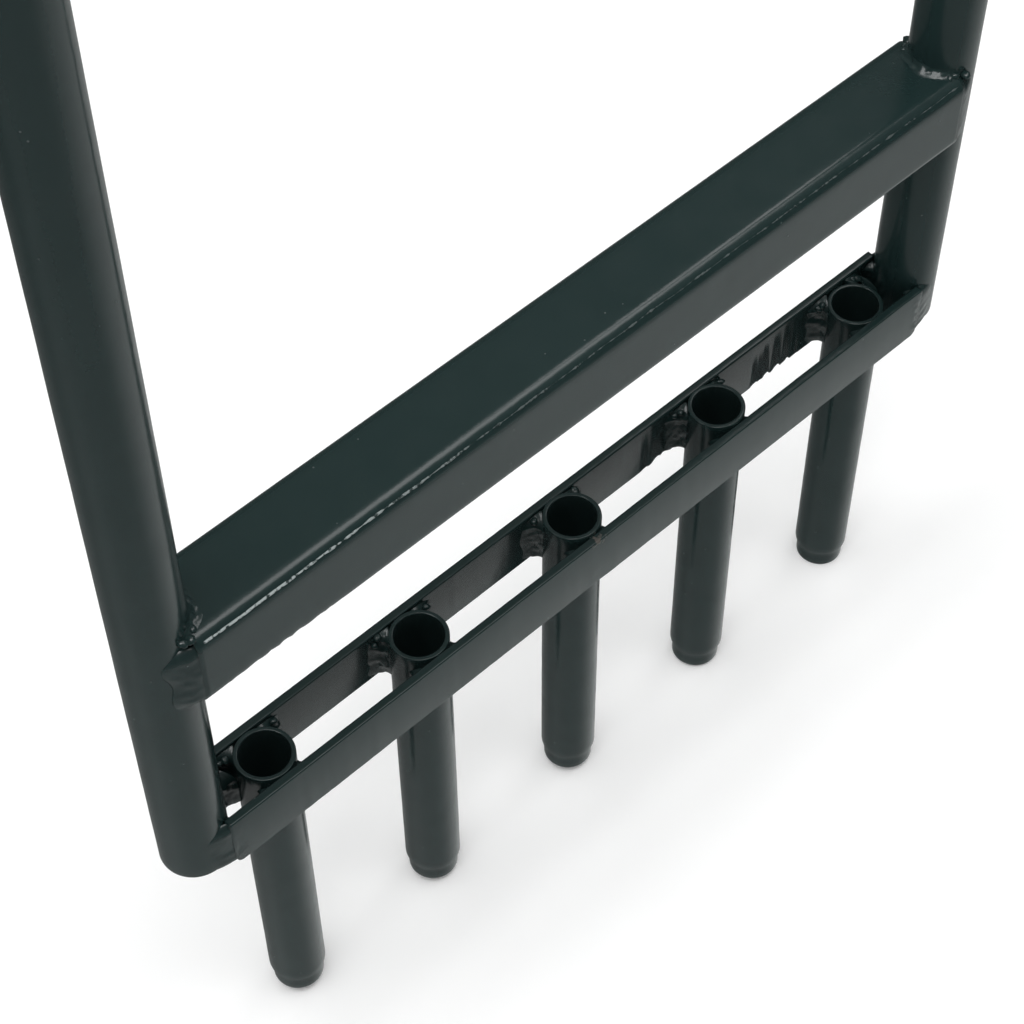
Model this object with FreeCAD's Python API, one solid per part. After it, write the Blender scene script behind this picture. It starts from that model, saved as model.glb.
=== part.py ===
"""Lawn aerator fork: a welded steel frame with five hollow tines, a foot bar and a hand grip.

Millimetres. X runs along the foot bar, Y from front to rear and Z up. The origin is on the
ground under the middle of the frame, at the level of the longest tine's tip.
"""
import FreeCAD, Part
import math
import os

V = FreeCAD.Vector

# Hoop: one round tube bent into an upside-down U. Its legs run down beside the tines.
TOTAL_HEIGHT = 930.0
TUBE_R = 11.0
TUBE_WALL = 1.5
LEG_X = 157.0
LEG_FOOT_Z = 120.0
BEND_R = 55.0

# Foam grip on the hoop's cross piece
GRIP_R = 16.0
GRIP_LENGTH = 190.0
GRIP_END_ROUND = 4.0

# Foot bar: square tube, its ends shaped to the legs
BAR_SIZE = 29.0
BAR_WALL = 2.0
BAR_CORNER_R = 5.0
BAR_BOTTOM_Z = 207.0
BAR_END_SHORT = 5.0         # the front and rear walls end this far short of a leg's centre line
SADDLE_GAP = 1.5            # room for weld between the saddle and the leg

# Strips: two flat bars, one in front of the tines and one behind
STRIP_HEIGHT = 22.0
STRIP_THICKNESS = 3.0
STRIP_EDGE_R = 0.5
STRIP_TOP_Z = 140.0

# Tines: tube, stepped in to a collar at the tip. They are set by eye, so the places differ a little.
TINE_R = 9.5
TINE_WALL = 1.5
COLLAR_R = 8.5
COLLAR_HEIGHT = 6.5
SHOULDER_HEIGHT = 1.8
SHOULDER_MIDDLE = (0.75, 0.45)      # shares of the step out and up, where the shoulder's arc passes
TINE_X = (-128.3, -66.9, -1.9, 63.7, 131.6)
TINE_TIP_Z = (4.0, 3.0, 3.0, 1.0, 0.0)
TINE_TOP_Z = (139.9, 139.9, 141.0, 140.9, 138.3)

# Weld beads
BAR_WELD_PROUD = 0.8        # above and below the foot bar
BAR_WELD_R = 3.5            # the upright beads on the foot bar's front and rear walls
BAR_WELD_INSET = 1.0        # these stop short of the bar's top and bottom
BAR_WELD_SLACK = 0.1        # the saddle bead stops short of the saddle's own radius
STRIP_WELD_R = 3.2
STRIP_WELD_Y = 10.8
TINE_WELD_R = 3.2
TINE_WELD_X = 9.6           # from the tine's axis to the bead's
TINE_WELD_Y = 7.6
TINE_WELD_FOOT = 1.0        # from the strips' lower edge up to a bead
TINE_WELD_HEAD = 2.0        # from a bead up to the strips' upper edge

TOLERANCE = 0.01            # for picking edges by their direction and place

CROSS_Z = TOTAL_HEIGHT - GRIP_R
BEND_Z = CROSS_Z - BEND_R
CROSS_HALF = LEG_X - BEND_R
BAR_TOP_Z = BAR_BOTTOM_Z + BAR_SIZE
SADDLE_R = TUBE_R + SADDLE_GAP
STRIP_BOTTOM_Z = STRIP_TOP_Z - STRIP_HEIGHT
# A strip's inner corner meets the leg's round surface here, and the strip ends there.
STRIP_HALF_LENGTH = LEG_X - math.sqrt(TUBE_R ** 2 - TINE_R ** 2)


def upright(radius, x, y, low, high):
    """A solid upright cylinder."""
    return Part.makeCylinder(radius, high - low, V(x, y, low))


def fused(shapes):
    """One solid from shapes that touch or overlap, with no seams left on shared faces."""
    return shapes[0].multiFuse(shapes[1:]).removeSplitter()


def hoop_bend(radius, side):
    """A quarter turn between a leg and the cross piece, as a solid rod."""
    section = Part.Face(Part.Wire(Part.makeCircle(radius, V(side * LEG_X, 0, BEND_Z))))
    return section.revolve(V(side * CROSS_HALF, 0, BEND_Z), V(0, -side, 0), 90.0)


def hoop_rod(radius):
    """The hoop as a solid rod: two legs, two bends and the cross piece."""
    legs = [upright(radius, side * LEG_X, 0, LEG_FOOT_Z, BEND_Z) for side in (-1, 1)]
    bends = [hoop_bend(radius, side) for side in (-1, 1)]
    cross = Part.makeCylinder(radius, 2 * CROSS_HALF, V(-CROSS_HALF, 0, CROSS_Z), V(1, 0, 0))
    return fused(legs + bends + [cross])


def frame_hoop():
    return hoop_rod(TUBE_R).cut(hoop_rod(TUBE_R - TUBE_WALL))


def handle_grip():
    start = V(-GRIP_LENGTH / 2, 0, CROSS_Z)
    sleeve = Part.makeCylinder(GRIP_R, GRIP_LENGTH, start, V(1, 0, 0))
    sleeve = sleeve.makeFillet(GRIP_END_ROUND, sleeve.Edges[0:1] + sleeve.Edges[2:3])
    return sleeve.cut(Part.makeCylinder(TUBE_R, GRIP_LENGTH, start, V(1, 0, 0)))


def runs_along_x(edge):
    return abs(edge.tangentAt(edge.FirstParameter).x) > 1 - TOLERANCE


def square_rod(size, corner_r, half_length):
    """A square rod along X with rounded corners, centred on the foot bar's axis."""
    low = V(-half_length, -size / 2, (BAR_BOTTOM_Z + BAR_TOP_Z - size) / 2)
    block = Part.makeBox(2 * half_length, size, size, low)
    return block.makeFillet(corner_r, [e for e in block.Edges if runs_along_x(e)])


def bar_outline():
    """The foot bar's outer shape: a solid square rod with a saddle at each end."""
    rod = square_rod(BAR_SIZE, BAR_CORNER_R, LEG_X - BAR_END_SHORT)
    saddles = [upright(SADDLE_R, side * LEG_X, 0, BAR_BOTTOM_Z, BAR_TOP_Z) for side in (-1, 1)]
    return rod.cut(saddles)


def bar_hollow():
    return square_rod(BAR_SIZE - 2 * BAR_WALL, BAR_CORNER_R - BAR_WALL, LEG_X)


def foot_bar():
    return bar_outline().cut(bar_hollow())


def strip(side):
    """A flat bar against the tines: side is -1 in front and 1 behind."""
    low_y = TINE_R if side > 0 else -TINE_R - STRIP_THICKNESS
    low = V(-STRIP_HALF_LENGTH, low_y, STRIP_BOTTOM_Z)
    bar = Part.makeBox(2 * STRIP_HALF_LENGTH, STRIP_THICKNESS, STRIP_HEIGHT, low)
    outer_y = side * (TINE_R + STRIP_THICKNESS)
    long_edges = [e for e in bar.Edges if runs_along_x(e)]
    outer_edges = [e for e in long_edges if abs(e.CenterOfMass.y - outer_y) < TOLERANCE]
    return bar.makeFillet(STRIP_EDGE_R, outer_edges)


def tine_side(inset, tip, top):
    """One side of a tine's wall, from the tip up to the top, moved in from the outer side."""
    collar_x = COLLAR_R - inset
    body_x = TINE_R - inset
    shoulder_low = tip + COLLAR_HEIGHT
    shoulder_high = shoulder_low + SHOULDER_HEIGHT
    share_out, share_up = SHOULDER_MIDDLE
    middle = V(collar_x + share_out * (TINE_R - COLLAR_R), 0, shoulder_low + share_up * SHOULDER_HEIGHT)
    return [
        Part.LineSegment(V(collar_x, 0, tip), V(collar_x, 0, shoulder_low)),
        Part.Arc(V(collar_x, 0, shoulder_low), middle, V(body_x, 0, shoulder_high)),
        Part.LineSegment(V(body_x, 0, shoulder_high), V(body_x, 0, top)),
    ]


def tine(x, tip, top):
    """A hollow tine: a straight tube with a rounded shoulder above a narrower collar."""
    rims = [
        Part.LineSegment(V(TINE_R, 0, top), V(TINE_R - TINE_WALL, 0, top)),
        Part.LineSegment(V(COLLAR_R - TINE_WALL, 0, tip), V(COLLAR_R, 0, tip)),
    ]
    curves = tine_side(0, tip, top) + tine_side(TINE_WALL, tip, top) + rims
    outline = Part.Wire(Part.__sortEdges__([curve.toShape() for curve in curves]))
    turned = Part.Face(outline).revolve(V(0, 0, 0), V(0, 0, 1), 360.0)
    turned.translate(V(x, 0, 0))
    return turned


def bar_weld(side):
    """The weld round a foot bar end: two saddle beads joined by two upright ones."""
    x = side * LEG_X
    bead_x = side * (LEG_X - BAR_END_SHORT + BAR_WELD_R / 2)
    low = BAR_BOTTOM_Z - BAR_WELD_PROUD
    high = BAR_TOP_Z + BAR_WELD_PROUD
    ring = upright(SADDLE_R - BAR_WELD_SLACK, x, 0, low, high)
    towards_bar = Part.makeBox(
        SADDLE_R, 2 * SADDLE_R, high - low,
        V(x - SADDLE_R if side > 0 else x, -SADDLE_R, low),
    )
    saddle_bead = ring.common(towards_bar)
    bead_y = BAR_SIZE / 2 - BAR_WELD_R
    upright_beads = [
        upright(BAR_WELD_R, bead_x, y, BAR_BOTTOM_Z + BAR_WELD_INSET, BAR_TOP_Z - BAR_WELD_INSET)
        for y in (-bead_y, bead_y)
    ]
    inside = Part.makeBox(
        2 * SADDLE_R, BAR_SIZE - 2 * BAR_WALL, BAR_SIZE - 2 * BAR_WALL,
        V(x - SADDLE_R, BAR_WALL - BAR_SIZE / 2, BAR_BOTTOM_Z + BAR_WALL),
    )
    leg = upright(TUBE_R, x, 0, low, high)
    return fused([saddle_bead] + upright_beads).cut([leg, inside, bar_outline()])


def strip_weld(side, end):
    """The bead where a strip's end meets a leg: side is front or rear, end is left or right."""
    bead_x = end * (STRIP_HALF_LENGTH + STRIP_WELD_R)
    bead = upright(STRIP_WELD_R, bead_x, side * STRIP_WELD_Y, LEG_FOOT_Z, STRIP_TOP_Z)
    leg = upright(TUBE_R, end * LEG_X, 0, LEG_FOOT_Z, STRIP_TOP_Z)
    return bead.cut([leg, strip(side)])


def tine_welds(x):
    """The four upright beads that hold one tine between the strips."""
    low = STRIP_BOTTOM_Z + TINE_WELD_FOOT
    high = STRIP_TOP_Z - TINE_WELD_HEAD
    body = upright(TINE_R, x, 0, low, high)
    space = Part.makeBox(4 * TINE_R, 2 * TINE_R, high - low, V(x - 2 * TINE_R, -TINE_R, low))
    beads = []
    for side in (-1, 1):
        for end in (-1, 1):
            bead = upright(TINE_WELD_R, x + end * TINE_WELD_X, side * TINE_WELD_Y, low, high)
            beads.append(bead.common(space).cut(body))
    return Part.makeCompound(beads)


def build():
    nodes = {
        "frame_hoop": frame_hoop(),
        "handle_grip": handle_grip(),
        "foot_bar": foot_bar(),
        "front_strip": strip(-1),
        "rear_strip": strip(1),
    }
    for number, (x, tip, top) in enumerate(zip(TINE_X, TINE_TIP_Z, TINE_TOP_Z), start=1):
        nodes[f"tine_{number}"] = tine(x, tip, top)
        nodes[f"tine_welds_{number}"] = tine_welds(x)
    for end_name, end in (("left", -1), ("right", 1)):
        nodes[f"foot_bar_weld_{end_name}"] = bar_weld(end)
        nodes[f"front_strip_weld_{end_name}"] = strip_weld(-1, end)
        nodes[f"rear_strip_weld_{end_name}"] = strip_weld(1, end)
    return nodes


os.makedirs("parts", exist_ok=True)
for name, shape in build().items():
    shape.exportStep(f"parts/{name}.step")
    print(name, len(shape.Solids), "solids", round(shape.Volume, 1), "mm3", shape.isValid())
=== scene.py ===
"""Lawn aerator fork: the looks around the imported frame.

Shapes are worked out in millimetres, in the frame's own axes: X along the foot bar, Y from front
to rear, Z up from the ground. They are turned into metres when a mesh is made.
"""
import math
import random

import bmesh
import bpy
from mathutils import Matrix, Vector, noise


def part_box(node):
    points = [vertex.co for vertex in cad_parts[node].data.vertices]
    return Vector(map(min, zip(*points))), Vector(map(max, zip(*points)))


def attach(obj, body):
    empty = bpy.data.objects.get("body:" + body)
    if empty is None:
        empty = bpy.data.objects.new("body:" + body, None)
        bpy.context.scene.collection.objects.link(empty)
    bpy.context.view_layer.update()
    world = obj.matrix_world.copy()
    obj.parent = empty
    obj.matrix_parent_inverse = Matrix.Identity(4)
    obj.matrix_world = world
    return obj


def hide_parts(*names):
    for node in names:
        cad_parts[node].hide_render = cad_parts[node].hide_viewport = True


MM = 0.001
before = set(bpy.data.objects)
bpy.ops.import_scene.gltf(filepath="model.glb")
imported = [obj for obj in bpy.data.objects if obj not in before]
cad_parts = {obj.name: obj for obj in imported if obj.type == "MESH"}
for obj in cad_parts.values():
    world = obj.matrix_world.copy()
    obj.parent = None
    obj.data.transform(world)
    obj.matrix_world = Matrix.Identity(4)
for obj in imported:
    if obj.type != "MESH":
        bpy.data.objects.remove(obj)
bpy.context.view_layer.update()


# ---------------------------------------------------------------- places, read from the frame

def box_mm(node):
    """A CAD node's lowest and highest corner in millimetres."""
    low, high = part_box(node)
    return low / MM, high / MM


# The boxes say nothing of bends, walls, corners, gaps and collars. Those numbers repeat the design's.
HOOP_LOW, HOOP_HIGH = box_mm("frame_hoop")
LEG_R = HOOP_HIGH.y
LEG_X = HOOP_HIGH.x - LEG_R
LEG_FOOT_Z = HOOP_LOW.z
CROSS_Z = HOOP_HIGH.z - LEG_R
BEND_R = 55.0
TUBE_WALL = 1.5

BAR_LOW, BAR_HIGH = box_mm("foot_bar")
BAR_MIDDLE_Z = (BAR_LOW.z + BAR_HIGH.z) / 2
BAR_WALL = 2.0
BAR_CORNER_R = 5.0
SADDLE_GAP = 1.5
SADDLE_R = LEG_R + SADDLE_GAP

TINES = [box_mm(f"tine_{n}") for n in range(1, 6)]
TINE_R = (TINES[0][1].x - TINES[0][0].x) / 2
TINE_WALL = 1.5
COLLAR_INSET = 1.0
COLLAR_R = TINE_R - COLLAR_INSET
COLLAR_HEIGHT = 6.5
SHOULDER_HEIGHT = 1.8

ENDS = {"left": -1, "right": 1}
SIDES = {"front": -1, "rear": 1}


# ---------------------------------------------------------------- mesh helpers

def wavy(point, size, seed=0.0):
    """Smooth noise from about -1 to 1 with bumps of the given size. Each seed is another pattern."""
    return noise.noise(Vector(point) / size + Vector((seed, seed * 1.7, seed * 2.3)))


def stray(point, usual, amount, size, seed):
    """A value that strays from the usual one by up to about an amount, from point to point."""
    return usual + amount * wavy(point, size, seed)


def new_piece(name, mesh, material, slot, *nodes):
    """A piece that stands for CAD nodes and rides with them."""
    for polygon in mesh.polygons:
        polygon.use_smooth = True
    piece = bpy.data.objects.new(name, mesh)
    bpy.context.scene.collection.objects.link(piece)
    mesh.materials.append(material)
    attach(piece, "root")
    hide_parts(*nodes)
    return piece


def loft(name, rings, wrap):
    """A closed mesh through rings of points in millimetres: wrapped round, or capped at both ends."""
    count = len(rings[0])
    vertices = [Vector(p) * MM for ring in rings for p in ring]
    last = len(rings) if wrap else len(rings) - 1
    faces = []
    for i in range(last):
        here = i * count
        there = (i + 1) % len(rings) * count
        for j in range(count):
            k = (j + 1) % count
            faces.append((here + j, here + k, there + k, there + j))
    if not wrap:
        faces.append(tuple(range(count)))
        faces.append(tuple(range(last * count, (last + 1) * count)))
    mesh = bpy.data.meshes.new(name)
    mesh.from_pydata(vertices, [], faces)
    turned_out = bmesh.new()
    turned_out.from_mesh(mesh)
    bmesh.ops.recalc_face_normals(turned_out, faces=turned_out.faces)
    turned_out.to_mesh(mesh)
    turned_out.free()
    return mesh


def arc(centre, radius, start, end, steps):
    """Points of a circular arc in a plane, angles in degrees."""
    turns = [math.radians(start + (end - start) * i / steps) for i in range(steps + 1)]
    return [(centre[0] + radius * math.cos(t), centre[1] + radius * math.sin(t)) for t in turns]


def circle(count):
    """Angles in radians, evenly spaced round a full turn."""
    return [2 * math.pi * j / count for j in range(count)]


def spread(start, end, step):
    """Evenly spaced values from start to end, both included, about a step apart."""
    count = max(1, round(abs(end - start) / step))
    return [start + (end - start) * i / count for i in range(count + 1)]


# ---------------------------------------------------------------- hoop

HOOP_ROUND = 72
HOOP_STEP = 4.0
HOOP_UNEVEN = 0.05
HOOP_UNEVEN_SIZE = 14.0
FOOT_EDGE_R = 0.6
FOOT_EDGE_STEPS = 5


def hoop_length():
    """The length of the hoop's centre line, from foot to foot."""
    legs = 2 * (CROSS_Z - BEND_R - LEG_FOOT_Z)
    return legs + math.pi * BEND_R + 2 * (LEG_X - BEND_R)


def hoop_place(s):
    """The hoop's centre line at a distance s from the left foot, and its outward direction there."""
    leg = CROSS_Z - BEND_R - LEG_FOOT_Z
    bend = BEND_R * math.pi / 2
    total = hoop_length()
    if s > total / 2:
        centre, out = hoop_place(total - s)
        return Vector((-centre.x, 0, centre.z)), Vector((-out.x, 0, out.z))
    if s <= leg:
        return Vector((-LEG_X, 0, LEG_FOOT_Z + s)), Vector((-1, 0, 0))
    if s <= leg + bend:
        turn = (s - leg) / BEND_R
        out = Vector((-math.cos(turn), 0, math.sin(turn)))
        return Vector((BEND_R - LEG_X, 0, CROSS_Z - BEND_R)) + BEND_R * out, out
    return Vector((BEND_R - LEG_X + s - leg - bend, 0, CROSS_Z)), Vector((0, 0, 1))


def hoop_ring(s, radius):
    """A ring of points round the hoop's centre line, with the small unevenness of a painted tube."""
    centre, out = hoop_place(s)
    ring = []
    for turn in circle(HOOP_ROUND):
        direction = out * math.cos(turn) + Vector((0, math.sin(turn), 0))
        uneven = HOOP_UNEVEN * wavy(centre + direction * LEG_R, HOOP_UNEVEN_SIZE)
        ring.append(centre + direction * (radius - HOOP_UNEVEN + uneven))
    return ring


def hoop_mesh():
    total = hoop_length()
    inner_r = LEG_R - TUBE_WALL
    edge = arc((LEG_R - FOOT_EDGE_R, FOOT_EDGE_R), FOOT_EDGE_R, -90, 0, FOOT_EDGE_STEPS)
    rings = [hoop_ring(s, r) for r, s in edge]
    rings += [hoop_ring(s, LEG_R) for s in spread(FOOT_EDGE_R, total - FOOT_EDGE_R, HOOP_STEP)[1:-1]]
    rings += [hoop_ring(total - s, r) for r, s in reversed(edge)]
    rings += [hoop_ring(total - s, inner_r) for s in spread(0, total, HOOP_STEP)]
    return loft("hoop_tube", rings, wrap=True)


# ---------------------------------------------------------------- things turned on a lathe

def lathe(name, profile, place, count):
    """A closed profile of (radius, height) points turned about an axis that place() puts in space."""
    rings = [[place(radius, turn, height) for turn in circle(count)] for radius, height in profile]
    return loft(name, rings, wrap=True)


TINE_ROUND = 96
TINE_STEP = 3.0
COLLAR_STEP = 2.0
SHOULDER_STEPS = 8
RIM_R = 0.35
RIM_STEPS = 4
TINE_UNEVEN = 0.05
TINE_UNEVEN_SIZE = 9.0
TINE_UNEVEN_AT = 9.0        # the radius at which the unevenness is read, inside and out


def shoulder(inset, low):
    """The tine's wall from the collar out to the body, as a soft step."""
    points = []
    for i in range(SHOULDER_STEPS + 1):
        share = i / SHOULDER_STEPS
        swell = share * share * (3 - 2 * share)
        radius = COLLAR_R + (TINE_R - COLLAR_R) * swell - inset
        points.append((radius, low + SHOULDER_HEIGHT * share))
    return points


def tine_profile(low_z, high_z):
    """A tine's wall as a closed outline: up the outside and down the bore."""
    bore_r = TINE_R - TINE_WALL
    shoulder_low = low_z + COLLAR_HEIGHT
    shoulder_high = shoulder_low + SHOULDER_HEIGHT
    outside = arc((COLLAR_R - RIM_R, low_z + RIM_R), RIM_R, -90, 0, RIM_STEPS)
    outside += [(COLLAR_R, z) for z in spread(low_z + RIM_R, shoulder_low, COLLAR_STEP)[1:-1]]
    outside += shoulder(0, shoulder_low)
    outside += [(TINE_R, z) for z in spread(shoulder_high, high_z - RIM_R, TINE_STEP)[1:-1]]
    outside += arc((TINE_R - RIM_R, high_z - RIM_R), RIM_R, 0, 90, RIM_STEPS)
    inside = arc((bore_r + RIM_R, high_z - RIM_R), RIM_R, 90, 180, RIM_STEPS)
    inside += reversed(shoulder(TINE_WALL, shoulder_low))
    inside += arc((COLLAR_R - TINE_WALL + RIM_R, low_z + RIM_R), RIM_R, 180, 270, RIM_STEPS)
    return outside + inside


def tine_mesh(name, low, high):
    x = (low.x + high.x) / 2

    def place(radius, turn, z):
        direction = Vector((math.cos(turn), math.sin(turn), 0))
        read_at = (x + TINE_UNEVEN_AT * direction.x, TINE_UNEVEN_AT * direction.y, z)
        uneven = TINE_UNEVEN * (wavy(read_at, TINE_UNEVEN_SIZE) - 1)
        return Vector((x, 0, z)) + direction * (radius + uneven)

    return lathe(name, tine_profile(low.z, high.z), place, TINE_ROUND)


GRIP_ROUND = 96
GRIP_STEP = 2.5
GRIP_END_R = 4.0
GRIP_END_STEPS = 10
GRIP_BITE = 0.3             # how far the foam's bore is pressed into the tube
GRIP_CROWN = 0.35
GRIP_UNEVEN = 0.12
GRIP_UNEVEN_SIZE = 11.0
GRIP_UNEVEN_AT = 12.0       # the radius at which the unevenness is read


def grip_mesh():
    """The foam sleeve, a little thinner towards its ends."""
    low, high = box_mm("handle_grip")
    length = high.x - low.x
    outer_r = high.y
    inner_r = LEG_R - GRIP_BITE
    end_arc = arc((outer_r - GRIP_END_R, GRIP_END_R), GRIP_END_R, -90, 0, GRIP_END_STEPS)
    left = [(r, low.x + a) for r, a in end_arc]
    right = [(r, high.x - a) for r, a in reversed(end_arc)]
    body = [(outer_r, x) for x in spread(left[-1][1], right[0][1], GRIP_STEP)[1:-1]]
    bore = [(inner_r, high.x), (inner_r, low.x)]

    def place(radius, turn, x):
        direction = Vector((0, math.cos(turn), math.sin(turn)))
        along = 2 * (x - low.x) / length - 1
        skin = (radius - inner_r) / (outer_r - inner_r)
        read_at = (x, *(GRIP_UNEVEN_AT * direction).yz)
        sag = GRIP_CROWN * along ** 4 + GRIP_UNEVEN * (1 - wavy(read_at, GRIP_UNEVEN_SIZE))
        return Vector((x, 0, CROSS_Z)) + direction * (radius - skin * sag)

    return lathe("grip_sleeve", left + body + right + bore, place, GRIP_ROUND)


# ---------------------------------------------------------------- foot bar

BAR_STEP = 1.5
BAR_UNEVEN = 0.06
BAR_UNEVEN_SIZE = 16.0
CORNER_STEPS = 14
FACE_STEPS = 10

# Small waves along the lower front edge, near the left end
HAMMER_X = -124.0
HAMMER_HALF_LENGTH = 24.0
HAMMER_REACH = 7.0
HAMMER_DEPTH = 0.3
HAMMER_TURN = 1.2           # radians of the wave for each millimetre along the bar
HAMMER_DRIFT = 3.0
HAMMER_DRIFT_SIZE = 9.0


def bar_section(size, corner_r):
    """A rounded square in the Y-Z plane, round the foot bar's axis, starting at the rear face."""
    reach = size / 2 - corner_r
    points = []
    for start, side_y, side_z in ((0, 1, 1), (90, -1, 1), (180, -1, -1), (270, 1, -1)):
        centre = (side_y * reach, BAR_MIDDLE_Z + side_z * reach)
        corner = arc(centre, corner_r, start, start + 90, CORNER_STEPS)
        turn = math.radians(start + 90)
        points += corner
        for i in range(1, FACE_STEPS):
            run = 2 * reach * i / FACE_STEPS
            y, z = corner[-1]
            points.append((y - run * math.sin(turn), z + run * math.cos(turn)))
    return points


def saddle_x(y):
    """How far from the middle the bar reaches at y: its end is shaped to the round leg."""
    hollow = math.sqrt(max(0, SADDLE_R ** 2 - y ** 2))
    return min(BAR_HIGH.x, LEG_X - hollow)


def hammered(x, y, z):
    """How deep the small waves in the bar's lower front edge are."""
    near_edge = max(0.0, 1 - math.hypot(y - BAR_LOW.y, z - BAR_LOW.z) / HAMMER_REACH)
    stretch = max(0.0, 1 - abs(x - HAMMER_X) / HAMMER_HALF_LENGTH)
    drift = HAMMER_DRIFT * wavy((x, 0, 0), HAMMER_DRIFT_SIZE)
    return HAMMER_DEPTH * near_edge * stretch * (1 + math.sin(HAMMER_TURN * x + drift))


def bar_ring(section, share):
    """A section of the bar at a share of its length, from -1 at the left to 1 at the right."""
    ring = []
    for y, z in section:
        x = share * saddle_x(y)
        sunk = BAR_UNEVEN * (1 - wavy((x, y, z), BAR_UNEVEN_SIZE)) / 2 + hammered(x, y, z)
        towards = Vector((0, y, z - BAR_MIDDLE_Z)).normalized()
        ring.append(Vector((x, y, z)) - towards * sunk)
    return ring


def foot_bar_mesh():
    size = BAR_HIGH.y - BAR_LOW.y
    outside = bar_section(size, BAR_CORNER_R)
    inside = bar_section(size - 2 * BAR_WALL, BAR_CORNER_R - BAR_WALL)
    shares = spread(-1, 1, BAR_STEP / BAR_HIGH.x)
    rings = [bar_ring(outside, share) for share in shares]
    rings += [bar_ring(inside, share) for share in reversed(shares)]
    return loft("foot_bar_tube", rings, wrap=True)


# A thin broken run of paint stands proud along the bar's upper front edge.
RUN_ANGLE = 46.0
RUN_DROOP = 13.0
RUN_WANDER = 0.05
RUN_WANDER_SIZE = 12.0
RUN_R = 0.34
RUN_STEP = 0.5
RUN_ROUND = 10
RUN_END = 2.5               # from the bar's end to the run's
RUN_SHARES = (0.12, 1.2)    # the least and most of RUN_R that the run can have
RUN_USUAL = 0.25            # shares of RUN_R: everywhere, more at the left end, and by chance
RUN_FULLER = 1.2
RUN_BROKEN = 1.1
RUN_GAP_SIZE = 3.2
RUN_FINE_GAPS = 0.6
RUN_FINE_GAP_SIZE = 1.1


def run_thickness(x):
    """The paint run's radius: fuller towards the left end, fading in and out elsewhere."""
    fuller = max(0.0, -x / BAR_HIGH.x)
    broken = wavy((x, 0, 0), RUN_GAP_SIZE, 5) + RUN_FINE_GAPS * wavy((x, 0, 0), RUN_FINE_GAP_SIZE, 9)
    least, most = RUN_SHARES
    return RUN_R * min(most, max(least, RUN_USUAL + RUN_FULLER * fuller + RUN_BROKEN * broken))


def paint_run_mesh():
    end_x = BAR_HIGH.x - RUN_END
    rings = []
    for x in spread(-end_x, end_x, RUN_STEP):
        lean = math.radians(RUN_ANGLE + RUN_DROOP * max(0.0, -x / end_x))
        lean += RUN_WANDER * wavy((x, 3, 3), RUN_WANDER_SIZE)
        y = BAR_LOW.y + BAR_CORNER_R - BAR_CORNER_R * math.sin(lean)
        z = BAR_HIGH.z - BAR_CORNER_R + BAR_CORNER_R * math.cos(lean)
        radius = run_thickness(x)
        rings.append([(x, y + radius * math.cos(t), z + radius * math.sin(t)) for t in circle(RUN_ROUND)])
    return loft("foot_bar_paint_run", rings, wrap=False)


# ---------------------------------------------------------------- strips

STRIP_STEP = 0.8
STRIP_EDGE_R = 0.6
STRIP_EDGE_STEPS = 6
STRIP_CORNER_R = 4.0

# The rear strip's lower edge is torn where it was sheared: middle and half length of each stretch
RAGGED = ((46.0, 8.0), (103.0, 14.0))
TEAR_HEIGHT = 3.0
TOOTH = 5.3
TOOTH_SHARE = 0.35
TEAR_SHARE = 1.2
TEAR_SIZE = 3.2
TEAR_RISE = 0.1             # the share of its height that a point keeps above the torn edge

# Unevenness of a strip's faces: a fine one and a slow one, each an amount and a size
FRET_FINE = (0.06, 2.6)
FRET_SLOW = (0.1, 19.0)
FRET_SINK = 0.08
FRET_UP = 0.5


def strip_section(low_y, high_y, low_z, high_z):
    """A strip's section with small rounded edges, in the Y-Z plane."""
    r = STRIP_EDGE_R
    corners = (
        (high_y - r, high_z - r, 0),
        (low_y + r, high_z - r, 90),
        (low_y + r, low_z + r, 180),
        (high_y - r, low_z + r, 270),
    )
    points = []
    for y, z, start in corners:
        points += arc((y, z), r, start, start + 90, STRIP_EDGE_STEPS)
    return points


def sheared(x):
    """How far up the rear strip's lower edge has been torn ragged, in two stretches of it."""
    patch = max(max(0.0, 1 - abs(x - middle) / half) for middle, half in RAGGED)
    tooth = (x / TOOTH) % 1.0
    torn = TOOTH_SHARE * tooth + TEAR_SHARE * abs(wavy((x, 40, 0), TEAR_SIZE, 6))
    return TEAR_HEIGHT * min(1.0, 2 * patch) * torn


def rounded_end(x, high_x):
    """How far a strip's lower corners are rounded up at its two ends."""
    past = min(STRIP_CORNER_R, max(0.0, abs(x) - high_x + STRIP_CORNER_R))
    return STRIP_CORNER_R - math.sqrt(STRIP_CORNER_R ** 2 - past ** 2)


def strip_fret(point):
    """The unevenness of a strip's face at a point."""
    return sum(amount * wavy(point, size) for amount, size in (FRET_FINE, FRET_SLOW))


def strip_mesh(name, side):
    low, high = box_mm(f"{name}_strip")
    section = strip_section(low.y, high.y, low.z, high.z)
    rings = []
    for x in spread(low.x, high.x, STRIP_STEP):
        ring = []
        for y, z in section:
            floor_z = low.z + rounded_end(x, high.x) + (sheared(x) if side > 0 else 0.0)
            fret = strip_fret((x, y, z))
            lowest = floor_z + TEAR_RISE * (z - low.z)
            ring.append((x, y - side * max(0.0, fret), max(z, lowest) - FRET_SINK + FRET_UP * fret))
        rings.append(ring)
    return loft(f"{name}_strip_bar", rings, wrap=False)


# ---------------------------------------------------------------- weld beads
#
# A bead's toe wanders on the metal. Its reach or its angle is given as the arguments of stray():
# the usual value, how far it strays, the size of a bump and a seed.

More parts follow.
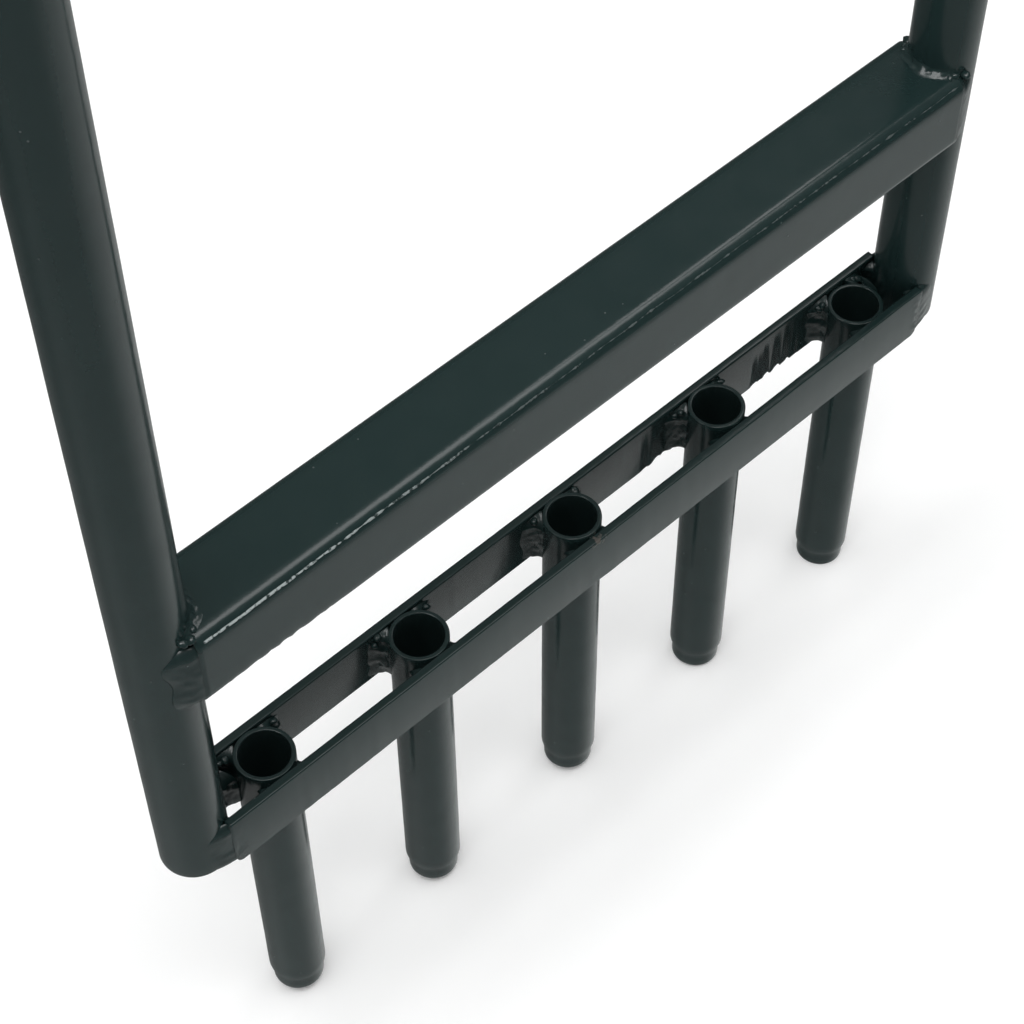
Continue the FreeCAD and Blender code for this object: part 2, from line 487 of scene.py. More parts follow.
BEAD_STEP = 0.5
BEAD_FACE = 16
RIPPLE_LENGTH = 3.6
RIPPLE_REACH = 12.0
RIPPLE_LEAST = 0.15
RIPPLE_BEND = 1.2
FULLNESS_STRAY = 0.35
FULLNESS_SIZE = 5.0
LUMP_SIZE = 2.6
FINE_LUMPS = 0.35
FINE_LUMP_SIZE = 1.2
SINK = 0.12                 # how far a toe lies under the metal's surface
LEAST_SWELL = 0.02


def leg_point(end, turn, radius, z):
    """A point round a leg: turn is 0 towards the middle of the tool and 90 towards the rear."""
    angle = math.radians(turn)
    return Vector((end * (LEG_X - radius * math.cos(angle)), radius * math.sin(angle), z))


def across(toe_a, corner, toe_b, fullness):
    """Points from toe to toe: a hollow curve into the corner at fullness 0, a straight line at 1."""
    control = corner.lerp((toe_a + toe_b) / 2, fullness)
    shares = [i / BEAD_FACE for i in range(BEAD_FACE + 1)]
    return [(1 - t) ** 2 * toe_a + 2 * t * (1 - t) * control + t * t * toe_b for t in shares]


def bead(stations, fullness, lumps, ripple=0.0, tapers=(2.0, 2.0)):
    """A bead of weld along stations, each a root in the metal, a toe on each of two surfaces and
    the corner where those surfaces would meet. tapers are how long the start and the end take to
    swell. Ripples are strongest at the start."""
    lengths = [0.0]
    for before, after in zip(stations, stations[1:]):
        lengths.append(lengths[-1] + (after[0] - before[0]).length)
    rings = []
    for (root, toe_a, corner, toe_b), along in zip(stations, lengths):
        swell = min(1.0, along / tapers[0], (lengths[-1] - along) / tapers[1])
        full = math.sqrt(max(LEAST_SWELL, 1 - (1 - swell) ** 2))
        out = ((toe_a + toe_b) / 2 - root).normalized()
        varied = fullness * (1 + FULLNESS_STRAY * wavy(root, FULLNESS_SIZE, 2))
        faint = max(RIPPLE_LEAST, 1 - along / RIPPLE_REACH)
        ring = []
        for i, point in enumerate(across(toe_a, corner, toe_b, varied)):
            t = i / BEAD_FACE
            crown = 4 * t * (1 - t)
            rough = lumps * (wavy(point, LUMP_SIZE) + FINE_LUMPS * wavy(point, FINE_LUMP_SIZE))
            turn = 2 * math.pi * (along + RIPPLE_BEND * crown) / RIPPLE_LENGTH
            wave = ripple * faint * math.sin(turn)
            ring.append(root.lerp(point + out * crown * (rough + wave), full))
        ring.append(root)
        rings.append(ring)
    return rings


DROP_ROUND = 12
DROP_STEPS = 9
DROP_LUMPS = 0.35
DROP_LUMP_SIZE = 1.6


def drop(centre, radius, squash):
    """A small spatter of weld, half sunk in the metal."""
    rings = []
    for i in range(1, DROP_STEPS):
        polar = math.pi * i / DROP_STEPS
        flat = radius * math.sin(polar)
        ring = []
        for t in circle(DROP_ROUND):
            offset = Vector((flat * math.cos(t), flat * math.sin(t), squash * radius * math.cos(polar)))
            ring.append(centre + offset * (1 + DROP_LUMPS * wavy(centre + offset, DROP_LUMP_SIZE)))
        rings.append(ring)
    return rings


def beads_mesh(name, shells):
    """One mesh of several closed shells, each a list of rings."""
    whole = bmesh.new()
    for rings in shells:
        part = loft(name + "_part", rings, wrap=False)
        whole.from_mesh(part)
        bpy.data.meshes.remove(part)
    mesh = bpy.data.meshes.new(name)
    whole.to_mesh(mesh)
    whole.free()
    return mesh


def bar_skin(offset):
    """How far the bar's surface has dropped at an offset from its axis, by its rounded corner."""
    past = max(0.0, min(BAR_CORNER_R, abs(offset) - (BAR_HIGH.y - BAR_CORNER_R)))
    return BAR_CORNER_R - math.sqrt(BAR_CORNER_R ** 2 - past ** 2)


SADDLE_TURNS = (-78, 74, 2.5)           # first, last and step, in degrees round the leg
SADDLE_ROOT_IN = 0.5
SADDLE_ROOT_DOWN = 1.2
SADDLE_CLIMB = (1.9, 0.8, 4.0, 3)
SADDLE_WIDTH = (3.0, 1.6, 4.0, 7)


def saddle_bead(end, up):
    """The bead round a leg on the foot bar's top (up is 1) or underside (-1)."""
    level = BAR_HIGH.z if up > 0 else BAR_LOW.z
    stations = []
    for turn in spread(*SADDLE_TURNS):
        root = leg_point(end, turn, LEG_R - SADDLE_ROOT_IN, level - up * SADDLE_ROOT_DOWN)
        toe_a = leg_point(end, turn, LEG_R - SINK, level + up * stray(root, *SADDLE_CLIMB))
        toe_b = leg_point(end, turn, LEG_R + stray(root, *SADDLE_WIDTH), level)
        toe_b.y = max(SINK - BAR_HIGH.y, min(BAR_HIGH.y - SINK, toe_b.y))
        corner = leg_point(end, turn, LEG_R, level - up * bar_skin(toe_b.y))
        toe_b.z = level - up * (bar_skin(toe_b.y) + SINK)
        stations.append((root, toe_a, corner, toe_b))
    return bead(stations, fullness=0.3, lumps=0.55, tapers=(4.0, 7.0))


WALL_FOOT = 2.4             # from a wall bead's lower end up to the bar's underside
WALL_HEAD = 3.0             # from its upper end up to the bar's top
WALL_ROOT_X = 2.0           # from the leg's centre line
WALL_ROOT_Y = 10.2
WALL_CORNER_X = 1.2
WALL_CORNER_PROUD = 0.3
WALL_TURN = (108, 16, 9.0, 1)
WALL_REACH = (8.5, -3.0, 8.0, 4)


def wall_bead(end, side):
    """The upright bead between the end of the bar's front or rear wall and the leg."""
    stations = []
    for z in spread(BAR_LOW.z - WALL_FOOT, BAR_HIGH.z - WALL_HEAD, BEAD_STEP):
        root = Vector((end * (LEG_X - WALL_ROOT_X), side * WALL_ROOT_Y, z))
        toe_a = leg_point(end, side * stray(root, *WALL_TURN), LEG_R - SINK, z)
        skin = BAR_HIGH.y - bar_skin(z - BAR_MIDDLE_Z)
        corner = Vector((end * (LEG_X - WALL_CORNER_X), side * (skin + WALL_CORNER_PROUD), z))
        wall_x = LEG_X - stray(root, *WALL_REACH)
        stations.append((root, toe_a, corner, Vector((end * wall_x, side * (skin - SINK), z))))
    return bead(stations, fullness=0.12, lumps=0.22, ripple=0.12, tapers=(8.0, 4.0))


BAR_DROP_TURNS = (52, 64, 76)
BAR_DROP_TURN_SPREAD = (-5, 5)
BAR_DROP_OUT = (0.2, 1.6)
BAR_DROP_R = (1.4, 2.0)
BAR_DROP_SQUASH = (0.55, 0.75)
BAR_DROP_SUNK = {"front": 0.2, "rear": 0.9}


def bar_bead_mesh(end_name):
    """The beads round one end of the foot bar, with spatter beside the saddle."""
    end = ENDS[end_name]
    chance = random.Random(11 + end)
    shells = [saddle_bead(end, 1), saddle_bead(end, -1), wall_bead(end, -1), wall_bead(end, 1)]
    for side_name, side in SIDES.items():
        for usual_turn in BAR_DROP_TURNS:
            turn = usual_turn + chance.uniform(*BAR_DROP_TURN_SPREAD)
            spot = leg_point(end, side * turn, LEG_R + chance.uniform(*BAR_DROP_OUT), 0)
            spot.z = BAR_HIGH.z - bar_skin(spot.y) - BAR_DROP_SUNK[side_name]
            radius = chance.uniform(*BAR_DROP_R)
            shells.append(drop(spot, radius, chance.uniform(*BAR_DROP_SQUASH)))
    return beads_mesh(f"foot_bar_{end_name}_bead", shells)


STRIP_BEAD_FOOT = 0.2       # from the strip's lower edge up to the outer bead
STRIP_BEAD_HEAD = 0.5       # from the outer bead up to the strip's upper edge
STRIP_OUTER_ROOT_X = 1.6    # past the strip's end
STRIP_OUTER_ROOT_Y = 0.3
STRIP_OUTER_CORNER_X = 1.0
STRIP_OUTER_CORNER_Y = 0.7
STRIP_OUTER_TURN = (101, 14, 8.0, 1)
STRIP_OUTER_REACH = (5.5, -3.0, 8.0, 4)

STRIP_INNER_FOOT = 1.0
STRIP_INNER_HEAD = 1.5
STRIP_INNER_CORNER_X = 0.2  # short of the strip's end
STRIP_INNER_ROOT_Y = 0.3
STRIP_INNER_TURN = (36, 6, 4.0, 5)
STRIP_INNER_REACH = (6.0, -1.2, 4.0, 6)


def strip_outer_bead(side, end, heights, high_x, inner_y, outer_y):
    """The upright bead on a strip's outer face, from its end round to the leg."""
    stations = []
    for z in heights:
        root = Vector((end * (high_x + STRIP_OUTER_ROOT_X), side * (inner_y + STRIP_OUTER_ROOT_Y), z))
        toe_a = leg_point(end, side * stray(root, *STRIP_OUTER_TURN), LEG_R - SINK, z)
        corner = Vector((end * (high_x + STRIP_OUTER_CORNER_X), side * (outer_y + STRIP_OUTER_CORNER_Y), z))
        toe_x = high_x - stray(root, *STRIP_OUTER_REACH)
        stations.append((root, toe_a, corner, Vector((end * toe_x, side * (outer_y - SINK), z))))
    return bead(stations, fullness=0.1, lumps=0.16, ripple=0.1, tapers=(4.0, 4.0))


def strip_inner_bead(side, end, heights, high_x, inner_y):
    """The upright bead in the corner between a strip's inner face and the leg."""
    stations = []
    for z in heights:
        corner = Vector((end * (high_x - STRIP_INNER_CORNER_X), side * inner_y, z))
        root = corner + Vector((0, side * STRIP_INNER_ROOT_Y, 0))
        toe_a = leg_point(end, side * stray(corner, *STRIP_INNER_TURN), LEG_R - SINK, z)
        toe_x = high_x - stray(corner, *STRIP_INNER_REACH)
        stations.append((root, toe_a, corner, Vector((end * toe_x, side * (inner_y + SINK), z))))
    return bead(stations, fullness=0.6, lumps=0.3)


def strip_bead_mesh(side_name, end_name):
    """The beads between a strip's end and the leg: one on the outer face and one inside."""
    side = SIDES[side_name]
    end = ENDS[end_name]
    low, high = box_mm(f"{side_name}_strip")
    outer_y = max(abs(low.y), abs(high.y))
    inner_y = min(abs(low.y), abs(high.y))
    heights = spread(low.z + STRIP_BEAD_FOOT, high.z - STRIP_BEAD_HEAD, BEAD_STEP)
    inner = [z for z in heights if low.z + STRIP_INNER_FOOT <= z <= high.z - STRIP_INNER_HEAD]
    shells = [
        strip_outer_bead(side, end, heights, high.x, inner_y, outer_y),
        strip_inner_bead(side, end, inner, high.x, inner_y),
    ]
    return beads_mesh(f"{side_name}_strip_{end_name}_bead", shells)


TINE_ROOT_X = 4.5           # from the tine's axis
TINE_ROOT_IN = 0.3
TINE_CORNER_X = 5.5
TINE_TOE_TURN = (60, 9, 5.0)            # as for stray(), and each tine has its own seed
TINE_TOE_REACH = (13.6, 1.8, 4.0)
TINE_REACH_SEED = 9


def tine_toe(x, end, side, lean, z):
    """A toe on a tine's surface, at a lean in degrees from the strip's direction."""
    reach = TINE_R - SINK
    angle = math.radians(lean)
    return Vector((x + end * reach * math.sin(angle), side * reach * math.cos(angle), z))


def tine_bead(x, side, end, low_z, head_z, seed):
    """One upright bead in the corner between a tine and a strip."""
    stations = []
    for z in spread(low_z, head_z, BEAD_STEP):
        root = Vector((x + end * TINE_ROOT_X, side * (TINE_R - TINE_ROOT_IN), z))
        toe_a = tine_toe(x, end, side, stray(root, *TINE_TOE_TURN, seed), z)
        wide = stray(root, *TINE_TOE_REACH, seed + TINE_REACH_SEED)
        toe_b = Vector((x + end * wide, side * (TINE_R + SINK), z))
        stations.append((root, toe_a, Vector((x + end * TINE_CORNER_X, side * TINE_R, z)), toe_b))
    return bead(stations, fullness=0.55, lumps=0.6, tapers=(2.5, 3.5))


WEB_GAP = 10.0              # an end tine nearer than this to its leg is joined to it by a web
WEB_ROOT_OUT = 0.2
WEB_CORNER_IN = 3
WEB_TINE_TURN = (78, 8, 4.0, 3)
WEB_LEG_TURN = (14, 8, 4.0, 5)


def web_bead(x, end, low_z, head_z):
    """The weld that fills the narrow space between an end tine and the leg, along the rear strip."""
    gap_x = (abs(x) + TINE_R + LEG_X - LEG_R) / 2
    stations = []
    for z in spread(low_z, head_z, BEAD_STEP):
        root = Vector((end * gap_x, TINE_R + WEB_ROOT_OUT, z))
        toe_a = tine_toe(x, end, 1, stray(root, *WEB_TINE_TURN), z)
        toe_b = leg_point(end, stray(root, *WEB_LEG_TURN), LEG_R - SINK, z)
        stations.append((root, toe_a, Vector((end * gap_x, TINE_R - WEB_CORNER_IN, z)), toe_b))
    return bead(stations, fullness=0.5, lumps=0.7, tapers=(3.0, 5.0))


TINE_BEAD_FOOT = 0.4        # from the strips' lower edge up to a bead
FRONT_BEAD_HEAD = 4.0       # from a bead up to the strips' upper edge
REAR_BEAD_HEAD = (0.6, 1.6)
WEB_FOOT = 0.6
WEB_HEAD = 4.0
TINE_DROPS = 3
TINE_DROP_X = (6.5, 11.0)
TINE_DROP_Y = (7.4, 8.8)
TINE_DROP_FALL = 0.6        # from a bead's head down to the first drop
TINE_DROP_STRAY = (0.0, 0.8)
TINE_DROP_PITCH = 1.1
TINE_DROP_R = (1.0, 1.6)
TINE_DROP_SQUASH = 0.8


def tine_beads_mesh(number, low, high):
    """Four beads between a tine and the strips, with spatter at the heads of the rear ones."""
    chance = random.Random(70 + number)
    x = (low.x + high.x) / 2
    strip_low, strip_high = box_mm("rear_strip")
    shells = []
    for side in SIDES.values():
        for end in ENDS.values():
            head_z = strip_high.z - (chance.uniform(*REAR_BEAD_HEAD) if side > 0 else FRONT_BEAD_HEAD)
            shells.append(tine_bead(x, side, end, strip_low.z + TINE_BEAD_FOOT, head_z, number))
            if side < 0:
                continue
            if abs(x + end * TINE_R) > LEG_X - LEG_R - WEB_GAP:
                shells.append(web_bead(x, end, strip_low.z + WEB_FOOT, strip_high.z - WEB_HEAD))
            for rank in range(TINE_DROPS):
                spot_x = x + end * chance.uniform(*TINE_DROP_X)
                spot = Vector((spot_x, chance.uniform(*TINE_DROP_Y), head_z))
                spot.z -= TINE_DROP_FALL + chance.uniform(*TINE_DROP_STRAY) + TINE_DROP_PITCH * rank
                shells.append(drop(spot, chance.uniform(*TINE_DROP_R), TINE_DROP_SQUASH))
    return beads_mesh(f"tine_{number}_beads", shells)


# ---------------------------------------------------------------- shader nodes

def put(tree, socket, value):
    """Feeds a socket from another socket, or sets it to a plain value."""
    if isinstance(value, bpy.types.NodeSocket):
        tree.links.new(value, socket)
    else:
        socket.default_value = value


def ramp_node(tree, value, low, high, at_low, at_high):
    """value between low and high taken smoothly to the range from at_low to at_high."""
    made = tree.nodes.new("ShaderNodeMapRange")
    made.interpolation_type = "SMOOTHSTEP"
    for name, number in (("From Min", low), ("From Max", high), ("To Min", at_low), ("To Max", at_high)):
        made.inputs[name].default_value = number
    put(tree, made.inputs["Value"], value)
    return made.outputs["Result"]


def math_node(tree, operation, first, second):
    made = tree.nodes.new("ShaderNodeMath")
    made.operation = operation
    put(tree, made.inputs[0], first)
    put(tree, made.inputs[1], second)
    return made.outputs["Value"]


class Shader:
    """A material's node tree, with short calls for the nodes that this scene uses."""

    def __init__(self, name):
        self.material = bpy.data.materials.new(name)
        self.material.use_nodes = True
        self.tree = self.material.node_tree
        self.surface = self.tree.nodes["Principled BSDF"]
        self.place = self.tree.nodes.new("ShaderNodeTexCoord").outputs["Object"]

    def node(self, kind, **inputs):
        made = self.tree.nodes.new(kind)
        for name, value in inputs.items():
            put(self.tree, made.inputs[name], value)
        return made

    def give(self, name, value):
        """Feeds one of the surface's inputs."""
        put(self.tree, self.surface.inputs[name], value)

    def noise(self, size_mm, detail=2.0):
        """Cloudy noise from 0 to 1 with features of a size in millimetres."""
        made = self.node("ShaderNodeTexNoise", Vector=self.place, Scale=1000 / size_mm, Detail=detail)
        return made.outputs["Fac"]

    def spots(self, spacing_mm):
        """Distance to the nearest of scattered points, in units of their spacing."""
        made = self.node("ShaderNodeTexVoronoi", Vector=self.place, Scale=1000 / spacing_mm)
        return made.outputs["Distance"]

    def ramp(self, value, low, high, at_low=0.0, at_high=1.0):
        return ramp_node(self.tree, value, low, high, at_low, at_high)

    def math(self, operation, first, second):
        return math_node(self.tree, operation, first, second)

    def mix(self, share, first, second):
        made = self.tree.nodes.new("ShaderNodeMix")
        made.data_type = "RGBA"
        put(self.tree, made.inputs["Factor"], share)
        put(self.tree, made.inputs["A"], first)
        put(self.tree, made.inputs["B"], second)
        return next(o for o in made.outputs if o.type == "RGBA")

    def across(self, axis):
        """The place along one axis of the object, in metres."""
        return self.node("ShaderNodeSeparateXYZ", Vector=self.place).outputs[axis]

    def near(self, point_mm, radius_mm):
        """1 at a point on the object, falling to 0 at a radius from it."""
        made = self.tree.nodes.new("ShaderNodeVectorMath")
        made.operation = "DISTANCE"
        put(self.tree, made.inputs[0], self.place)
        made.inputs[1].default_value = Vector(point_mm) * MM
        return self.ramp(made.outputs["Value"], 0.3 * radius_mm * MM, radius_mm * MM, 1.0, 0.0)

    def bump(self, height, distance_mm, under=None):
        made = self.node("ShaderNodeBump", Height=height, Distance=distance_mm * MM)
        if under is not None:
            put(self.tree, made.inputs["Normal"], under)
        return made.outputs["Normal"]


# ---------------------------------------------------------------- materials

def colour(red, green, blue, shade=1.0):
    return (red * shade, green * shade, blue * shade, 1.0)


def grey(value):
    return colour(value, value, value)


GREEN = (0.0105, 0.0235, 0.0230)
GREEN_WORN = (0.0118, 0.0250, 0.0246)
DUST = colour(0.10, 0.12, 0.12)
# the pale colour of the painted highlight on the foot bar's paint run
PAINTED_GLINT = colour(0.33, 0.37, 0.37)
SCUFF = colour(0.075, 0.068, 0.058)
SCUFF_PLACE = (-2.0, -12.0, 140.0)
SCUFF_R = 4.0
SCUFF_GRAIN = 1.3
CLOUD_SIZE = 30.0
SPECK_SPACING = 5.5
SPECK_PATCH = 13.0
SPECK_STRENGTH = 0.5
SPECK_HEIGHT = 0.05
GLOSS_PATCH = 9.0
DULLER = 0.35               # added to the roughness on specks and scuffs
PEEL_SIZE = 2.6
PEEL_HEIGHT = 0.035
SLOW_SIZE = 11.0
SLOW_HEIGHT = 0.10
PAINT_IOR = 1.5


def dust_specks(shader):
    """1 on sparse specks of dust in the paint and 0 elsewhere."""
    speck = shader.ramp(shader.spots(SPECK_SPACING), 0.035, 0.06, 1.0, 0.0)
    return shader.math("MULTIPLY", speck, shader.ramp(shader.noise(SPECK_PATCH), 0.5, 0.62))


def scuff_marks(shader):
    """1 where the paint is scuffed, at one place on the front strip."""
    grain = shader.ramp(shader.noise(SCUFF_GRAIN, 4.0), 0.5, 0.6)
    return shader.math("MULTIPLY", shader.near(SCUFF_PLACE, SCUFF_R), grain)


def paint(name, roughness, lumps, shade=1.0):
    """Dark green enamel: slightly cloudy, with orange peel, fine dust in the film and a few scuffs."""
    shader = Shader(name)
    speck = dust_specks(shader)
    scuff = scuff_marks(shader)
    cloud = shader.ramp(shader.noise(CLOUD_SIZE, 3.0), 0.35, 0.7)
    base = shader.mix(cloud, colour(*GREEN, shade), colour(*GREEN_WORN, shade))
    base = shader.mix(shader.math("MULTIPLY", speck, SPECK_STRENGTH), base, DUST)
    shader.give("Base Color", shader.mix(scuff, base, SCUFF))
    gloss = shader.ramp(shader.noise(GLOSS_PATCH, 4.0), 0.3, 0.7, roughness - 0.02, roughness + 0.03)
    dull = shader.math("MULTIPLY", shader.math("MAXIMUM", scuff, speck), DULLER)
    shader.give("Roughness", shader.math("ADD", gloss, dull))
    peel = shader.bump(shader.noise(PEEL_SIZE), PEEL_HEIGHT * lumps)
    slow = shader.bump(shader.noise(SLOW_SIZE), SLOW_HEIGHT * lumps, peel)
    shader.give("Normal", shader.bump(speck, SPECK_HEIGHT, slow))
    shader.give("IOR", PAINT_IOR)
    return shader.material


DASH_SIZE = 1.4
GLINT_FADE_X = (-0.13, -0.03)     # in metres, from the brightest painted highlight at the left end to faint
GLINT_FAINT = 0.16
DASH_BUMP_HEIGHT = 0.08


def glint_ridge():
    """The proud run of paint along the foot bar, painted pale in dashes: a painted highlight, brightest at
    the left end.
    """
    shader = Shader("glint_ridge")
    glint_dashes = shader.ramp(shader.noise(DASH_SIZE), 0.40, 0.52)
    faded = shader.ramp(shader.across("X"), *GLINT_FADE_X, 1.0, GLINT_FAINT)
    # the run's colour turns pale in dashes: a painted highlight that fades from the left end towards the
    # right
    shader.give("Base Color", shader.mix(shader.math("MULTIPLY", glint_dashes, faded), colour(*GREEN), PAINTED_GLINT))
    shader.give("Roughness", shader.ramp(glint_dashes, 0.0, 1.0, 0.14, 0.3))
    shader.give("Normal", shader.bump(shader.noise(DASH_SIZE), DASH_BUMP_HEIGHT))
    return shader.material


FOAM_DARK = colour(0.010, 0.010, 0.011)
FOAM_PALE = colour(0.024, 0.024, 0.025)
# the near-black colour of the pores: painted shade in the pits
FOAM_PORE_SHADE = grey(0.004)
FOAM_CLOUD_SIZE = 7.0
PORE_SPACING = 0.9
PORE_DEPTH = 0.10
SKIN_SIZE = 3.0
SKIN_HEIGHT = 0.12


def foam():
    """Black closed-cell foam: matte, with fine pores and a faint skin."""
    shader = Shader("grip_foam")
    cloud = shader.noise(FOAM_CLOUD_SIZE, 4.0)
    pores = shader.ramp(shader.spots(PORE_SPACING), 0.1, 0.45)
    # the pores are painted darker than the foam: painted shade in the pits
    shader.give("Base Color", shader.mix(pores, FOAM_PORE_SHADE, shader.mix(cloud, FOAM_DARK, FOAM_PALE)))
    shader.give("Roughness", shader.ramp(cloud, 0.3, 0.7, 0.78, 0.95))
    skin = shader.bump(shader.noise(SKIN_SIZE, 3.0), SKIN_HEIGHT)
    shader.give("Normal", shader.bump(pores, PORE_DEPTH, skin))
    shader.give("Sheen Weight", 0.25)
    shader.give("Sheen Roughness", 0.6)
    return shader.material


PAPER_DARK = grey(0.92)
PAPER_PALE = grey(0.95)
PAPER_CLOUD_SIZE = 60.0
PAPER_GLOW = 0.1


def floor_paper():
    """Pale seamless paper with the faintest mottling."""
    shader = Shader("floor_paper")
    cloud = shader.noise(PAPER_CLOUD_SIZE, 3.0)
    shader.give("Base Color", shader.mix(cloud, PAPER_DARK, PAPER_PALE))
    shader.give("Roughness", shader.ramp(cloud, 0.3, 0.7, 0.85, 0.95))
    shader.give("Emission Color", grey(1))
    shader.give("Emission Strength", PAPER_GLOW)
    return shader.material


# ---------------------------------------------------------------- floor, light and camera

FLOOR_R = 3000.0
FLOOR_CENTRE_R = 1.0
FLOOR_ROUND = 96
SWEEP_R = 700.0
SWEEP_STEPS = 12
WALL_TOP = 2400.0


def stage_bowl():
    """A flat round floor that sweeps up into a wall all round."""
    profile = [(FLOOR_CENTRE_R, 0.0), (FLOOR_R, 0.0)]
    profile += arc((FLOOR_R, SWEEP_R), SWEEP_R, -90, 0, SWEEP_STEPS)[1:]
    profile += [(FLOOR_R + SWEEP_R, WALL_TOP)]
    count = FLOOR_ROUND
    vertices = []
    faces = []
    for radius, z in profile:
        for turn in circle(count):
            vertices.append((radius * math.cos(turn) * MM, radius * math.sin(turn) * MM, z * MM))
    for i in range(len(profile) - 1):
        for j in range(count):
            k = (j + 1) % count
            faces.append((i * count + j, i * count + k, (i + 1) * count + k, (i + 1) * count + j))
    faces.append(tuple(range(count)))
    mesh = bpy.data.meshes.new("floor")
    mesh.from_pydata(vertices, [], faces)
    mesh.materials.append(floor_paper())
    for polygon in mesh.polygons:
        polygon.use_smooth = True
    floor = bpy.data.objects.new("floor", mesh)
    bpy.context.scene.collection.objects.link(floor)
    floor.visible_glossy = False


def softbox(name, place, target, wide, tall, power, spin=0.0):
    """A rectangular light at a place in metres, facing a target, turned by a spin in degrees."""
    light = bpy.data.lights.new(name, "AREA")
    light.shape = "RECTANGLE"
    light.size = wide
    light.size_y = tall
    light.energy = power
    lamp = bpy.data.objects.new(name, light)
    lamp.location = place
    facing = (Vector(target) - Vector(place)).to_track_quat("-Z", "Y")
    turned = Matrix.Rotation(math.radians(spin), 4, "Z")
    lamp.rotation_euler = (turned @ facing.to_matrix().to_4x4()).to_euler()
    bpy.context.scene.collection.objects.link(lamp)


def studio_light():
    softbox("overhead", (0.99, -0.19, 2.2), (0.99, -0.19, 0), wide=2.25, tall=0.66, power=14.7, spin=54)
    softbox("fill", (-0.6, -0.1, 2.6), (0, 0, 0.3), wide=1.8, tall=1.8, power=56)
    bpy.context.scene.view_settings.view_transform = "Standard"


def studio_room():
    """What the gloss reflects: dim walls and ceiling, and a paler ground that is brightest to the right."""
    world = bpy.data.worlds.new("studio")
    bpy.context.scene.world = world
    world.use_nodes = True
    tree = world.node_tree
    direction = tree.nodes.new("ShaderNodeSeparateXYZ")
    tree.links.new(tree.nodes.new("ShaderNodeTexCoord").outputs["Generated"], direction.inputs[0])

    def ramp(axis, low, high, at_low, at_high):
        return ramp_node(tree, direction.outputs[axis], low, high, at_low, at_high)

    brighter_right = ramp("X", 0.0, 0.6, 0.0, 0.30)
    darker_rear = ramp("Y", 0.0, 0.45, 0.0, -0.15)
    underfoot = ramp("Z", -0.92, -0.6, 0.33, 0.17)
    below_horizon = ramp("Z", -0.45, -0.15, 1.0, 0.0)
    above = ramp("Z", 0.2, 0.75, 0.07, 0.18)
    ground = math_node(tree, "ADD", math_node(tree, "ADD", brighter_right, darker_rear), underfoot)
    ground = math_node(tree, "MULTIPLY", ground, below_horizon)
    background = tree.nodes["Background"]
    put(tree, background.inputs["Strength"], math_node(tree, "ADD", ground, above))
    put(tree, background.inputs["Color"], colour(0.97, 1.0, 0.99))


CAMERA_TARGET = Vector((-0.0277, 0, 0.1662))
CAMERA_DISTANCE = 0.7552
CAMERA_HEADING = math.radians(42.72)
CAMERA_DOWN = math.radians(52.73)
CAMERA_ROLL = math.radians(-0.69)
CAMERA_LENS = 87.6
CAMERA_SENSOR = 36.0
CAMERA_NEAREST = 0.01


def photo_camera():
    """The camera, looking down past the left leg from the front, along the foot bar."""
    forward = Vector((
        math.sin(CAMERA_HEADING) * math.cos(CAMERA_DOWN),
        math.cos(CAMERA_HEADING) * math.cos(CAMERA_DOWN),
        -math.sin(CAMERA_DOWN),
    ))
    level = forward.cross(Vector((0, 0, 1))).normalized()
    right = Matrix.Rotation(-CAMERA_ROLL, 3, forward) @ level
    up = right.cross(forward)
    axes = Matrix((right, up, -forward)).transposed()
    data = bpy.data.cameras.new("camera")
    data.lens = CAMERA_LENS
    data.sensor_width = CAMERA_SENSOR
    data.clip_start = CAMERA_NEAREST
    camera = bpy.data.objects.new("camera", data)
    camera.matrix_world = Matrix.Translation(CAMERA_TARGET - forward * CAMERA_DISTANCE) @ axes.to_4x4()
    bpy.context.scene.collection.objects.link(camera)
    bpy.context.scene.camera = camera


# ---------------------------------------------------------------- the tool

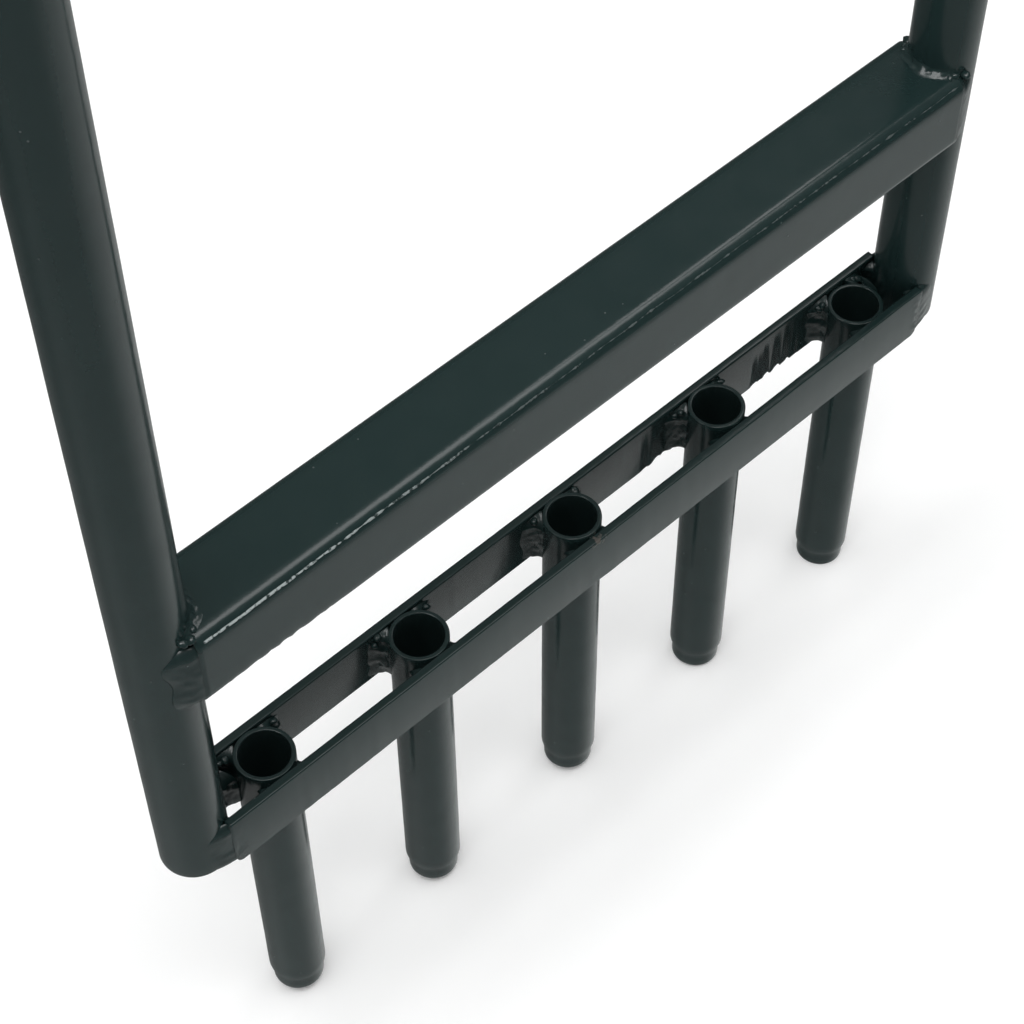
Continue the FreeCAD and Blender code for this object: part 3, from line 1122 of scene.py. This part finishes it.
BORE_SLACK = 0.1
BORE_RIM = 1.0              # the outer paint reaches this far into each end of the bore; past it the bore gets the darker painted shade


def darken_bore(tine, low, high):
    """Gives the inside of a tine a darker, duller paint: painted shade in the bore."""
    tine.data.materials.append(bore)
    middle_x = (low.x + high.x) / 2
    for polygon in tine.data.polygons:
        x, y, z = polygon.center / MM
        inside = math.hypot(x - middle_x, y) < TINE_R - TINE_WALL + BORE_SLACK
        if inside and low.z + BORE_RIM < z < high.z - BORE_RIM:
            polygon.material_index = 1


steel = paint("painted_steel", roughness=0.19, lumps=1.0)
weld = paint("painted_weld", roughness=0.23, lumps=1.2)
# the bore's paint is darker: painted shade inside the hollow tines
bore = paint("bore_painted_shade", roughness=0.45, lumps=1.0, shade=0.8)

new_piece("hoop_tube", hoop_mesh(), steel, "painted_steel", "frame_hoop")
new_piece("foot_bar_tube", foot_bar_mesh(), steel, "painted_steel", "foot_bar")
new_piece("foot_bar_paint_run", paint_run_mesh(), glint_ridge(), "painted_steel")
for side_name, side in SIDES.items():
    mesh = strip_mesh(side_name, side)
    new_piece(f"{side_name}_strip_bar", mesh, steel, "painted_steel", f"{side_name}_strip")
for number, (low, high) in enumerate(TINES, start=1):
    mesh = tine_mesh(f"tine_{number}_tube", low, high)
    tine = new_piece(f"tine_{number}_tube", mesh, steel, "painted_steel", f"tine_{number}")
    darken_bore(tine, low, high)
    mesh = tine_beads_mesh(number, low, high)
    new_piece(f"tine_{number}_beads", mesh, weld, "painted_weld", f"tine_welds_{number}")
for end_name in ENDS:
    mesh = bar_bead_mesh(end_name)
    new_piece(f"foot_bar_{end_name}_bead", mesh, weld, "painted_weld", f"foot_bar_weld_{end_name}")
    for side_name in SIDES:
        mesh = strip_bead_mesh(side_name, end_name)
        stands_for = f"{side_name}_strip_weld_{end_name}"
        new_piece(f"{side_name}_strip_{end_name}_bead", mesh, weld, "painted_weld", stands_for)
grip = new_piece("grip_sleeve", grip_mesh(), foam(), "grip_foam", "handle_grip")

stage_bowl()
studio_room()
studio_light()
photo_camera()
